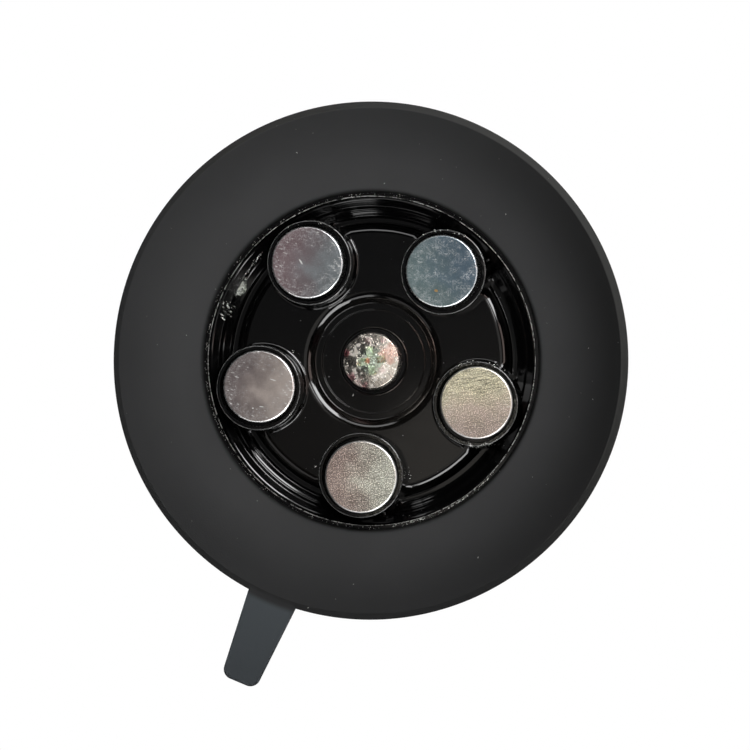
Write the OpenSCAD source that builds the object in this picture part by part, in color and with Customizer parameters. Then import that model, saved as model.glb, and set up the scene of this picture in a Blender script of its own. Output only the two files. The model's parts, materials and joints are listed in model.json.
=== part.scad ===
// Magnetic vacuum mount: a rubber suction ring round a moulded housing with five disc magnets.
// It stands in use, on a steel surface at z = 0, with its threaded stud up along +Z.
// The origin is where the stud's axis meets that surface. The pull tab points along -Y.

/* [Magnets] */
// Diameter of each disc magnet
magnet_d = 20; // [16:0.5:22]
// Thickness of each disc magnet
magnet_t = 8; // [5:0.5:9]
// Bevel round the edges of each magnet
magnet_bevel = 0.4; // [0.2:0.1:0.8]
// Diameter of the circle that the magnet cups are centred on
magnet_pcd = 63.6; // [60:0.2:70]
// Turn of the first magnet round the axis, in degrees from +X
magnet_turn = 36; // [0:1:72]
// Gap between the magnets' faces and the surface before the lip is pressed down
magnet_standoff = 0.4; // [0.2:0.1:1]

/* [Magnet cups] */
// Wall of a cup at its rim
cup_wall = 1.3; // [1:0.1:2]
// Gap between a centred magnet and its cup, filled with glue
pocket_gap = 0.5; // [0.2:0.1:0.8]
// Film of glue left where a magnet leans on its cup
glue_film = 0.05; // [0.05:0.01:0.1]
// How far a magnet stands out of its cup
magnet_proud = 1; // [0.4:0.1:2]
// Draft of a cup's outer wall, in degrees
cup_draft = 2.5; // [1:0.5:4]
// Rounding of a cup's outer rim
cup_edge_r = 0.5; // [0.2:0.1:0.6]
// Bevel at the mouth of a cup
cup_mouth_bevel = 0.3; // [0.1:0.1:0.4]
// Fillet where a cup stands on the plateau
cup_root_r = 0.9; // [0.4:0.1:1.5]

/* [Housing underside] */
// Height of the plateau that the cups stand on
plateau_z = 9; // [7:0.5:10]
// How far the plateau reaches past the magnets' circle
plateau_margin = 5.7; // [4:0.1:7]
// Slope of the plateau's side, as its run
plateau_side_run = 0.9; // [0.5:0.1:1.5]
// Rounding of the plateau's outer edge
plateau_edge_r = 2.4; // [0.8:0.1:2.6]
// Diameter of the central recess at its rim
recess_d = 36.4; // [32:0.2:38]
// Diameter of the central recess at its floor
recess_floor_d = 28.8; // [24:0.2:31]
// Depth of the central recess below the plateau
recess_depth = 2.5; // [1.5:0.1:4]
// Height of the step at the edge of the central recess's floor
recess_step_h = 0.5; // [0.2:0.1:1]
// Slope of the central recess's side, as its run
recess_side_run = 2; // [1:0.1:2.4]
// Rounding of the central recess's rim
recess_edge_r = 3.2; // [0.8:0.1:4]
// Height of the floor of the trough round the plateau
trough_z = 14; // [12.5:0.5:17]
// Width of the trough's floor
trough_w = 1.9; // [1.2:0.1:2.4]
// Number of steps from the trough's floor to the rim
wall_steps = 2; // [1:1:4]
// Fall of each step's tread towards the trough
tread_fall = 1; // [0.4:0.1:1.4]
// Fillet where a step's tread meets the wall above it
tread_root_r = 1.2; // [0.3:0.1:1.4]
// Rounding of the steps and of the trough's corners
step_r = 0.5; // [0.2:0.05:0.6]

/* [Housing rim and top] */
// Gap between the cups and the housing's rim
cup_to_rim = 1.9; // [1:0.1:3]
// Thickness of the rim's edge
rim_t = 1; // [0.8:0.1:2]
// How far the rim's edge lies inside the rubber's face
rim_inset = 0.5; // [0.2:0.1:1]
// Height of the rim below the flange
rim_h = 3.2; // [2.5:0.1:5]
// Width of the flange that the rubber grips
flange_w = 6.8; // [5:0.2:9]
// Thickness of the flange
flange_t = 3; // [2:0.1:3.5]
// How far the upper wall stands out from the rim
shoulder_w = 2.8; // [2:0.1:4]
// Thickness of the top over the trough
roof_t = 4; // [3:0.1:6]
// Rounding of the top's outer edge
shoulder_r = 3; // [1:0.5:3.5]
// Rise of the top from its edge to the boss
dome_rise = 1.6; // [0.5:0.1:3]
// Diameter of the boss under the nut
boss_d = 30; // [24:0.5:36]
// Height of the boss
boss_h = 2; // [1:0.5:4]
// Slope of the boss's side, as its run
boss_side_run = 0.8; // [0.4:0.1:1.5]

/* [Rubber cup] */
// Diameter of the rubber lip, the full width of the mount
lip_d = 143; // [136:0.5:165]
// Thickness of the skirt beside the collar
skirt_t = 4.5; // [3:0.1:6]
// Thickness of the lip at its edge
lip_t = 2.6; // [2.4:0.1:3.5]
// Width of the flat band of the lip that touches the surface
lip_band_w = 4; // [2:0.5:6]
// Width of the bevel under the lip's edge
lip_bevel_w = 1.7; // [1:0.1:2.5]
// Height of the bevel under the lip's edge
lip_bevel_h = 0.9; // [0.4:0.1:1.2]
// Rounding of the lip's edges
lip_edge_r = 0.5; // [0.2:0.1:0.6]
// Rise of the skirt's face from the lip to the bore
dish_h = 5; // [3:0.1:6]
// Rounding of the face where it turns into the bore
bore_edge_r = 2; // [0.6:0.1:2.2]
// Wall of the collar round the flange
collar_wall = 4; // [2.5:0.1:6]
// Thickness of the collar over the flange
collar_lap_t = 3; // [2:0.1:3.5]
// Rounding of the collar's outer edge
collar_edge_r = 1.5; // [0.5:0.1:2]
// Fillet between the collar and the skirt
collar_root_r = 2.5; // [1:0.1:3]
// Gap between the rubber and the housing's round walls
fit_gap = 0.1; // [0.05:0.05:0.3]

/* [Pull tab] */
// Length of the tab outside the lip
tab_l = 24.5; // [15:0.5:35]
// Width of the tab at the lip
tab_root_w = 14.4; // [12:0.2:20]
// Width of the tab at its tip
tab_tip_w = 10.2; // [9:0.2:14]
// Rounding of the tab's corners
tab_corner_r = 2.8; // [1:0.1:4]
// Thickness of the tab
tab_t = 1.8; // [1.2:0.1:2.2]
// Height of the tab's underside above the surface
tab_lift = 0.7; // [0.4:0.1:1]

/* [Screw and fasteners] */
// Thread diameter of the screw
screw_d = 8; // [6:1:8]
// Difference between the thread's outer and pitch diameters
thread_h = 0.8; // [0.6:0.1:1]
// Length of the screw below its head
screw_l = 40; // [32:1:60]
// Diameter of the screw's pan head
head_d = 16; // [14:0.2:17]
// Height of the screw's pan head
head_h = 6; // [4:0.1:6.5]
// Rise of the head's crown
head_crown = 0.6; // [0.2:0.1:1]
// Rounding of the head's outer edge
head_edge_r = 2.2; // [1:0.1:2.5]
// Span of the cross recess at the head's face
cross_span = 8.6; // [5:0.1:9.4]
// Span of the cross recess at its bottom
cross_tip_span = 3; // [2:0.1:4]
// Depth of the cross recess
cross_depth = 3.4; // [2:0.1:3.8]
// Width of the wings of the cross recess
cross_wing_w = 2; // [1:0.1:2.4]
// Turn of the cross recess, in degrees
cross_turn = 60; // [0:1:90]
// Bevel at the screw's tip
tip_bevel = 1; // [0.4:0.1:1.5]
// Gap between the screw and the holes that it passes through
hole_gap = 0.2; // [0.1:0.05:0.4]
// Diameter of the sealing washer under the head
seal_d = 17.8; // [17.5:0.1:22]
// Thickness of the sealing washer
seal_t = 1.2; // [0.8:0.1:2]
// Gap round the sealing washer in its seat
seal_gap = 0.3; // [0.1:0.1:0.5]
// Depth of the sealing washer's seat below the recess
seal_seat = 1; // [0.5:0.1:1.5]
// Diameter of the flat washer
washer_d = 16; // [15:0.2:20]
// Thickness of the flat washer
washer_t = 1.6; // [1:0.1:2]
// Diameter of the spring washer
spring_d = 14.6; // [13:0.1:15]
// Thickness of the spring washer
spring_t = 2; // [1.2:0.1:2.5]
// Width of the slit in the spring washer
spring_slit_w = 1; // [0.5:0.1:1.5]
// Slant of the slit in the spring washer, in degrees
spring_slit_slant = 30; // [10:1:40]
// Width across the flats of the nut
nut_flats = 13; // [12:0.1:14]
// Height of the nut
nut_h = 6.5; // [4:0.1:8]
// Slope of the nut's corner bevels, in degrees
nut_bevel_slope = 30; // [20:1:35]
// Gap between the nut's thread and the screw's, both drawn plain at the pitch diameter
thread_gap = 0.05; // [0.05:0.05:0.1]

/* [Hidden] */
$fn = 96;
// Largest turn of one straight stretch of a rounded corner, in degrees
arc_step = 15;
// Number of straight stretches in the curve of the rubber's dished face
dish_steps = 8;
// Length by which joined shapes run into each other, and cuts run past faces
weld = 1;

// Side of its cup that each magnet was glued against, in degrees round the cup from its outer side
magnet_lean = [305, 260, 295, 335, 135];
magnet_count = len(magnet_lean);
lean_l = pocket_gap - glue_film;

// Cups
pitch_r = magnet_pcd / 2;
pocket_r = magnet_d / 2 + pocket_gap;
pocket_floor_z = magnet_standoff + magnet_t;
cup_rim_z = magnet_standoff + magnet_proud;
cup_r = pocket_r + cup_wall;

// Housing, from the axis outwards
hole_r = screw_d / 2 + hole_gap;
recess_z = plateau_z + recess_depth;
seal_r = seal_d / 2;
seat_z = recess_z + seal_seat;
plateau_r = pitch_r + plateau_margin;
plateau_foot_r = plateau_r + plateau_side_run;
trough_r = plateau_foot_r + trough_w;
rim_in_r = pitch_r + cup_r + cup_to_rim;
rim_r = rim_in_r + rim_t;
rim_z = dish_h + rim_inset;
flange_r = rim_r + flange_w;
flange_z = rim_z + rim_h;
flange_top_z = flange_z + flange_t;
shoulder_wall_r = rim_r + shoulder_w;
shoulder_z = trough_z + roof_t;
dome_z = shoulder_z + dome_rise;
boss_z = dome_z + boss_h;
step_w = (rim_in_r - trough_r) / wall_steps;
riser_h = (trough_z - rim_z - wall_steps * tread_fall) / (wall_steps + 1);

// Rubber cup
bore_r = rim_r + fit_gap;
groove_r = flange_r + fit_gap;
collar_in_r = shoulder_wall_r + fit_gap;
collar_r = groove_r + collar_wall;
collar_z = flange_top_z + collar_lap_t;
lip_r = lip_d / 2;
band_out_r = lip_r - lip_bevel_w;
band_in_r = band_out_r - lip_band_w;
collar_foot_z = dish_z(collar_r) + skirt_t;

// Screw and the stack on top of the boss
head_seat_z = seat_z - seal_t;
head_face_z = head_seat_z - head_h;
crown_r = (pow(head_d / 2, 2) + pow(head_crown, 2)) / (2 * head_crown);
spring_z = boss_z + washer_t;
nut_z = spring_z + spring_t;
nut_top_z = nut_z + nut_h;
pitch_d = screw_d - thread_h;
nut_corner_r = nut_flats / sqrt(3);

// Radius of a cup's drafted wall at a height
function cup_wall_r(z) = cup_r + (z - cup_rim_z) * tan(cup_draft);

// Height of a wall step's inner edge, counted from the trough
function step_z(i) = trough_z - i * riser_h - (i - 1) * tread_fall;

// Height of the rubber's dished face at a radius; it leaves the lip's band level and steepens to the bore
function dish_z(r) = dish_h * pow((band_in_r - r) / (band_in_r - bore_r), 2);

// Points of an arc round a centre, from one angle to another
function arc(centre, r, from, to) =
    let (steps = ceil(abs(to - from) / arc_step))
    [for (i = [0 : steps]) let (a = from + (to - from) * i / steps) centre + r * [cos(a), sin(a)]];

// Points that round the corner b between its neighbours a and c, by a radius that its sides have room for
function corner(a, b, c, radius) =
    let (u = (a - b) / norm(a - b),
         v = (c - b) / norm(c - b),
         half = acos(u * v) / 2,
         room = 0.48 * min(norm(a - b), norm(c - b)),
         r = min(radius, room * tan(half)),
         centre = b + (u + v) / norm(u + v) * r / sin(half),
         reach = r / tan(half),
         start = b + u * reach - centre,
         from = atan2(start[1], start[0]),
         turn = sign(cross(v, u)) * (180 - 2 * half))
    arc(centre, r, from, from + turn);

// Outline through corners given as [x, y] or [x, y, radius]
function outline(corners) =
    let (n = len(corners))
    [for (i = [0 : n - 1])
        let (before = corners[(i + n - 1) % n],
             here = corners[i],
             after = corners[(i + 1) % n],
             b = [here[0], here[1]])
        each (len(here) < 3 ? [b]
              : corner([before[0], before[1]], b, [after[0], after[1]], here[2]))];

// Half section of the housing's body, from the screw hole out along the underside and back over the top
housing_section = [
    [hole_r, seat_z],
    [seal_r + seal_gap, seat_z],
    [seal_r + seal_gap, recess_z, step_r],
    [recess_floor_d / 2, recess_z, step_r],
    [recess_floor_d / 2, recess_z - recess_step_h, step_r],
    [recess_d / 2 - recess_side_run, recess_z - recess_step_h, step_r],
    [recess_d / 2, plateau_z, recess_edge_r],
    [plateau_r, plateau_z, plateau_edge_r],
    [plateau_foot_r, trough_z, step_r],
    [trough_r, trough_z, step_r],
    for (i = [1 : wall_steps]) each [
        [trough_r + (i - 1) * step_w, step_z(i), step_r],
        [trough_r + i * step_w, step_z(i) - tread_fall, tread_root_r]
    ],
    [rim_in_r, rim_z],
    [rim_r, rim_z],
    [rim_r, flange_z],
    [flange_r, flange_z],
    [flange_r, flange_top_z],
    [shoulder_wall_r, flange_top_z],
    [shoulder_wall_r, shoulder_z, shoulder_r],
    [boss_d / 2 + boss_side_run, dome_z, boss_side_run],
    [boss_d / 2, boss_z, boss_side_run],
    [hole_r, boss_z]
];

// Half section of the rubber cup, from the lip in along the face and back over the collar
rubber_section = [
    [lip_r, lip_bevel_h, lip_edge_r],
    [band_out_r, 0, lip_edge_r],
    for (i = [0 : dish_steps - 1])
        let (r = band_in_r + (bore_r - band_in_r) * i / dish_steps) [r, dish_z(r)],
    [bore_r, dish_h, bore_edge_r],
    [bore_r, flange_z],
    [groove_r, flange_z],
    [groove_r, flange_top_z],
    [collar_in_r, flange_top_z],
    [collar_in_r, collar_z, lip_edge_r],
    [collar_r, collar_z, collar_edge_r],
    [collar_r, collar_foot_z, collar_root_r],
    [lip_r, lip_t, lip_edge_r]
];

// Moves its children to the axis of a magnet cup
module at_cup(i) {
    rotate(magnet_turn + i * 360 / magnet_count) translate([pitch_r, 0, 0]) children();
}

// Drafted tower of a cup, down to the floor of the trough
module cup_tower() {
    rotate_extrude() polygon(outline([
        [0, cup_rim_z],
        [cup_r, cup_rim_z, cup_edge_r],
        [cup_wall_r(trough_z + weld), trough_z + weld],
        [0, trough_z + weld]
    ]));
}

// Fillet round the foot of a cup on the plateau
module cup_root() {
    foot_z = plateau_z - cup_root_r;
    foot_r = cup_wall_r(foot_z);
    rotate_extrude() polygon(concat(
        arc([foot_r + cup_root_r, foot_z], cup_root_r, 180, 90),
        [[foot_r + cup_root_r, plateau_z + weld],
         [foot_r - cup_wall / 2, plateau_z + weld],
         [foot_r - cup_wall / 2, foot_z]]
    ));
}

// Pocket of a cup, with a bevelled mouth
module cup_pocket() {
    rotate_extrude() polygon([
        [0, cup_rim_z - weld],
        [pocket_r + cup_mouth_bevel + weld, cup_rim_z - weld],
        [pocket_r, cup_rim_z + cup_mouth_bevel],
        [pocket_r, pocket_floor_z],
        [0, pocket_floor_z]
    ]);
}

module magnet_housing() {
    color("#101012") difference() {
        union() {
            rotate_extrude() polygon(outline(housing_section));
            for (i = [0 : magnet_count - 1]) at_cup(i) cup_tower();
            intersection() {
                union() for (i = [0 : magnet_count - 1]) at_cup(i) cup_root();
                cylinder(r = plateau_r - plateau_edge_r, h = boss_z);
            }
        }
        for (i = [0 : magnet_count - 1]) at_cup(i) cup_pocket();
    }
}

// Outline of the pull tab, wide at the lip and rounded at its tip
module tab_outline() {
    root_y = lip_r - lip_bevel_w;
    polygon(outline([
        [-tab_root_w / 2, -root_y],
        [-tab_tip_w / 2, -lip_r - tab_l, tab_corner_r],
        [tab_tip_w / 2, -lip_r - tab_l, tab_corner_r],
        [tab_root_w / 2, -root_y]
    ]));
}

module rubber_cup() {
    color("#3c3c3e") union() {
        rotate_extrude() polygon(outline(rubber_section));
        translate([0, 0, tab_lift]) linear_extrude(tab_t) tab_outline();
    }
}

module magnet(i) {
    half = magnet_d / 2;
    color("#b9b6b4") at_cup(i)
        translate(lean_l * [cos(magnet_lean[i]), sin(magnet_lean[i]), 0])
            rotate_extrude() polygon([
                [0, magnet_standoff],
                [half - magnet_bevel, magnet_standoff],
                [half, magnet_standoff + magnet_bevel],
                [half, pocket_floor_z - magnet_bevel],
                [half - magnet_bevel, pocket_floor_z],
                [0, pocket_floor_z]
            ]);
}

// Ring with a plain bore for the screw
module ring(outer_d, height, gap) {
    difference() {
        cylinder(d = outer_d, h = height);
        translate([0, 0, -weld]) cylinder(d = screw_d + 2 * gap, h = height + 2 * weld);
    }
}

module seal_washer() {
    color("#1c1c1e") translate([0, 0, head_seat_z]) ring(seal_d, seal_t, hole_gap);
}

// Tapered cross recess for the driver, cut up into the head's face
module cross_recess() {
    intersection() {
        translate([0, 0, head_face_z]) rotate_extrude() polygon([
            [0, -weld],
            [cross_span / 2, -weld],
            [cross_span / 2, 0],
            [cross_tip_span / 2, cross_depth],
            [0, cross_depth]
        ]);
        union() for (side = [0, 90]) rotate(cross_turn + side)
            translate([-cross_span, -cross_wing_w / 2, head_face_z - weld])
                cube([2 * cross_span, cross_wing_w, cross_depth + 2 * weld]);
    }
}

module centre_screw() {
    screw_r = screw_d / 2;
    tip_z = head_seat_z + screw_l;
    crown_end = asin(head_d / 2 / crown_r);
    crown = arc([0, head_face_z + crown_r], crown_r, -90, crown_end - 90);
    color("#c9c9cc") difference() {
        union() {
            rotate_extrude() intersection() {
                polygon(concat(crown, [[head_d / 2, head_seat_z], [0, head_seat_z]]));
                polygon(outline([
                    [0, head_face_z - weld],
                    [head_d / 2, head_face_z, head_edge_r],
                    [head_d / 2, head_seat_z],
                    [0, head_seat_z]
                ]));
            }
            rotate_extrude() polygon([
                [0, head_seat_z - weld],
                [pitch_d / 2, head_seat_z - weld],
                [pitch_d / 2, nut_top_z + thread_gap],
                [screw_r, nut_top_z + thread_gap],
                [screw_r, tip_z - tip_bevel],
                [screw_r - tip_bevel, tip_z],
                [0, tip_z]
            ]);
        }
        cross_recess();
    }
}

module flat_washer() {
    color("#b4b4b8") translate([0, 0, boss_z]) ring(washer_d, washer_t, hole_gap);
}

module spring_washer() {
    color("#a8a8ac") translate([0, 0, spring_z]) difference() {
        ring(spring_d, spring_t, hole_gap);
        rotate([spring_slit_slant, 0, 0]) translate([0, -spring_slit_w / 2, -spring_d])
            cube([spring_d, spring_slit_w, 2 * spring_d]);
    }
}

module hex_nut() {
    drop = (nut_corner_r - nut_flats / 2) * tan(nut_bevel_slope);
    color("#c2c2c6") translate([0, 0, nut_z]) difference() {
        intersection() {
            cylinder(r = nut_corner_r, h = nut_h, $fn = 6);
            rotate_extrude() polygon([
                [0, 0],
                [nut_flats / 2, 0],
                [nut_corner_r, drop],
                [nut_corner_r, nut_h - drop],
                [nut_flats / 2, nut_h],
                [0, nut_h]
            ]);
        }
        translate([0, 0, -weld]) cylinder(d = pitch_d + 2 * thread_gap, h = nut_h + 2 * weld);
    }
}

rubber_cup();
magnet_housing();
magnet(0);  // magnet_1
magnet(1);  // magnet_2
magnet(2);  // magnet_3
magnet(3);  // magnet_4
magnet(4);  // magnet_5
seal_washer();
centre_screw();
flat_washer();
spring_washer();
hex_nut();
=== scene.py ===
"""Dresses the magnetic vacuum mount: finishes, thread, glue, dust, studio and camera."""
import json
import math
import random

import bmesh
import bpy
from bpy.props import FloatProperty, FloatVectorProperty, IntProperty, PointerProperty
from mathutils import Matrix, Vector, noise
from mathutils.bvhtree import BVHTree


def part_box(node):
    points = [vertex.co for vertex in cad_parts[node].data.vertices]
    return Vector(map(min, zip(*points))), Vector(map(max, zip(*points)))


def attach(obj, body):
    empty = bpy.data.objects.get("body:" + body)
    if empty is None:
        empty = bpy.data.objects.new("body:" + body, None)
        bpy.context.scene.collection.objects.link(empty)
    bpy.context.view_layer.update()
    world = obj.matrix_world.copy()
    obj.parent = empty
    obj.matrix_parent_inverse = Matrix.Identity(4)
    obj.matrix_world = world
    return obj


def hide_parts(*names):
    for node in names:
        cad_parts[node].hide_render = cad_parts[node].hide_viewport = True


bl_info = {
    "name": "Magnetic Mount",
    "version": (1, 0, 0),
    "blender": (4, 5, 0),
    "location": "View3D > Sidebar > Mount",
    "description": "Finishes and fine pieces of a magnetic vacuum mount with a rubber suction ring",
    "category": "Object",
}

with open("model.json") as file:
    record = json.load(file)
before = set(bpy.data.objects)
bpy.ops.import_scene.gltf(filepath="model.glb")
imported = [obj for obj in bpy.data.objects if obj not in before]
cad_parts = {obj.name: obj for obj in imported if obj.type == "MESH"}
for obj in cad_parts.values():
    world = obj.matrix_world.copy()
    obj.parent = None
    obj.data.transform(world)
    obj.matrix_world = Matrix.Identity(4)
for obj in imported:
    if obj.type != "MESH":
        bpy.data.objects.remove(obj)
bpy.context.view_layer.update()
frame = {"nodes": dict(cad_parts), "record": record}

MM = 0.001
BODY = "root"
UP = Vector((0.0, 0.0, 1.0))
WHITE = (1.0, 1.0, 1.0)
MERGE_GAP = 1e-6  # points closer than this become one
FLAT_ANGLE = math.radians(0.2)  # faces that meet flatter than this become one
RING_STEPS = 240
MAGNET_STEPS = 160
RAY_START_Z = -10.0 * MM
PICTURE_DEG = 157.7  # direction of the picture's right side round the stud
MAGNETS = sorted(name for name in frame["nodes"] if name.startswith("magnet_") and name != "magnet_housing")
MOUNTS = {mount["name"]: mount for mount in frame["record"]["mounts"]}
STUD_R = MOUNTS["stud"]["dims"]["r_mm"] * MM
LIP_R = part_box("rubber_cup")[1][0]
TAB_TIP_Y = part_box("rubber_cup")[0][1]
NUT_TOP_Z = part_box("hex_nut")[1][2]
STUD_TIP_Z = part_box("centre_screw")[1][2]


class Wire:
    """A node's output, which Python's operators carry on into Math nodes."""

    def __init__(self, graph, socket):
        self.graph = graph
        self.socket = socket

    def other(self, output):
        """Another output of the same node."""
        return Wire(self.graph, self.socket.node.outputs[output])

    def math(self, operation, *others):
        return self.graph.math(operation, self, *others)

    def __add__(self, other):
        return self.math("ADD", other)

    def __radd__(self, other):
        return self.math("ADD", other)

    def __sub__(self, other):
        return self.math("SUBTRACT", other)

    def __rsub__(self, other):
        return self.graph.math("SUBTRACT", other, self)

    def __mul__(self, other):
        return self.math("MULTIPLY", other)

    def __rmul__(self, other):
        return self.math("MULTIPLY", other)

    def __truediv__(self, other):
        return self.math("DIVIDE", other)

    def __rtruediv__(self, other):
        return self.graph.math("DIVIDE", other, self)

    def above(self, limit):
        return self.math("GREATER_THAN", limit)

    def below(self, limit):
        return self.math("LESS_THAN", limit)


class Graph:
    """A node tree that takes nodes by type, settings and sockets."""

    def __init__(self, tree):
        self.tree = tree

    def add(self, kind, settings=None, sockets=None, output=0):
        """Adds a node, sets its settings and then its sockets, and gives one of its outputs."""
        node = self.tree.nodes.new(kind)
        for key, value in (settings or {}).items():
            setattr(node, key, value)
        for key, value in (sockets or {}).items():
            self.feed(node.inputs[key], value)
        return Wire(self, node.outputs[output]) if node.outputs else node

    def feed(self, socket, value):
        """Links an output to a socket, or sets the socket's own value."""
        if isinstance(value, Wire):
            self.tree.links.new(value.socket, socket)
        elif socket.type == "RGBA" and len(value) == 3:
            socket.default_value = (*value, 1.0)
        else:
            socket.default_value = value

    def math(self, operation, *values):
        return self.add("ShaderNodeMath", {"operation": operation}, dict(enumerate(values)))

    def clamp(self, value):
        return self.math("MINIMUM", self.math("MAXIMUM", value, 0.0), 1.0)

    def smooth(self, value, low, high):
        """0 below low and 1 above high, with an even rise between them; low may be the higher one."""
        return self.add("ShaderNodeMapRange", {"interpolation_type": "SMOOTHSTEP"},
                        {"Value": value, "From Min": low, "From Max": high})


class Finish(Graph):
    """A procedural material with one principled surface."""

    def __init__(self, name):
        self.material = bpy.data.materials.new(name)
        self.material.use_nodes = True
        super().__init__(self.material.node_tree)
        self.tree.nodes.clear()
        self.place = self.add("ShaderNodeTexCoord", output="Object")

    def centred(self, centre, turn=0.0, stretch=(1.0, 1.0, 1.0)):
        """Object coordinates about a centre, turned and stretched."""
        moved = self.add("ShaderNodeVectorMath", {"operation": "SUBTRACT"}, {0: self.place, 1: centre})
        return self.add("ShaderNodeMapping", {"vector_type": "POINT"},
                        {"Vector": moved, "Rotation": (0.0, 0.0, turn), "Scale": stretch})

    def polar(self):
        """Radius and angle round the Z axis, and height."""
        x = self.add("ShaderNodeSeparateXYZ", None, {"Vector": self.place})
        y = x.other("Y")
        radius = self.math("SQRT", x * x + y * y)
        return radius, self.math("ARCTAN2", y, x), x.other("Z")

    def vector(self, x, y, z):
        return self.add("ShaderNodeCombineXYZ", None, {"X": x, "Y": y, "Z": z})

    def noise(self, scale, detail=3.0, roughness=0.5, place=None):
        return self.add("ShaderNodeTexNoise", None, {
            "Vector": place or self.place, "Scale": scale, "Detail": detail, "Roughness": roughness})

    def specks(self, scale, size, share, place=None, dimensions="3D"):
        """Small dots: one in some of the cells, of a size that is a share of a cell."""
        dots = self.add("ShaderNodeTexVoronoi", {"voronoi_dimensions": dimensions},
                        {"Vector": place or self.place, "Scale": scale})
        tone = self.add("ShaderNodeSeparateColor", None, {"Color": dots.other("Color")})
        return dots.below(tone.other("Green") * size) * tone.below(share)

    def mix(self, factor, a, b):
        """Colour between a and b; the node's colour sockets are its inputs 6 and 7 and its output 2."""
        return self.add("ShaderNodeMix", {"data_type": "RGBA"}, {0: factor, 6: a, 7: b}, 2)

    def shade(self, colour, factor):
        """A colour made lighter or darker."""
        return self.add("ShaderNodeVectorMath", {"operation": "SCALE"}, {0: colour, "Scale": factor})

    def bump(self, height, strength, depth):
        return self.add("ShaderNodeBump", None, {"Height": height, "Strength": strength, "Distance": depth})

    def surface(self, **sockets):
        """Ends the material in a principled shader, with sockets named in snake case."""
        named = {key.replace("_", " ").title().replace("Ior", "IOR"): value for key, value in sockets.items()}
        shader = self.add("ShaderNodeBsdfPrincipled", None, named)
        self.add("ShaderNodeOutputMaterial", None, {"Surface": shader})
        return self.material


def polar_point(radius, angle_deg, height=0.0):
    angle = math.radians(angle_deg)
    return Vector((radius * math.cos(angle), radius * math.sin(angle), height))


def ring_rubber(settings):
    """Matte moulded rubber with a fine grain, a grey bloom and a little dust, with painted shade on the outer
    part of the ring towards one side and next to the bore, and a painted highlight on one side of the lip's
    edge.
    """
    f = Finish("ring_rubber")
    colour = Vector(settings.colour)
    radius, angle, _ = f.polar()
    towards = f.math("COSINE", angle - settings.shaded_turn) * 0.5 + 0.5
    facing = f.math("COSINE", angle - settings.lit_turn) * 0.5 + 0.5
    bloom = f.noise(26.0, 3.0, 0.55)
    grain = f.noise(2400.0, 2.0)
    pores = f.noise(620.0, 3.0)
    dust = f.specks(420.0, 0.10, 0.08)
    base = f.mix(f.smooth(bloom, 0.3, 0.7), colour * 0.94, colour * 1.06)
    # Painted shade: the outer part of the ring is darkened, most towards one side.
    wear_and_painted_light = f.smooth(radius, LIP_R * 0.66, LIP_R * 0.97) * (0.08 + towards * towards * 0.75)
    base = f.shade(base, 1.0 - wear_and_painted_light)
    # Painted highlight: the lip's edge is painted lighter on the side towards which light falls on it.
    lit = f.smooth(radius, LIP_R - 2.1 * MM, LIP_R - 1.7 * MM) * f.smooth(facing, 0.25, 0.75)
    base = f.mix(lit * (0.55 + bloom * 0.4), base, settings.lit_colour)
    # Painted shade: the rubber darkens towards the joint at the bore, where its rounding lies in shadow.
    unmarked = f.smooth(radius, settings.joint_r + 0.3 * MM, settings.joint_r + 1.7 * MM)
    base = f.shade(base, 0.12 + unmarked * 0.88)
    # The pull tab is coloured lighter and bluer than the ring.
    base = f.mix(f.smooth(radius, LIP_R, LIP_R + 2.0 * MM), base, settings.tab_colour)
    base = f.mix(dust * 0.35, base, settings.dust_colour)
    return f.surface(
        base_color=base,
        roughness=0.66 + bloom * 0.16 + dust * 0.1,
        normal=f.bump(grain * 0.6 + pores * 0.4, settings.grain, 0.00012),
        specular_ior_level=0.05,
    )


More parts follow.
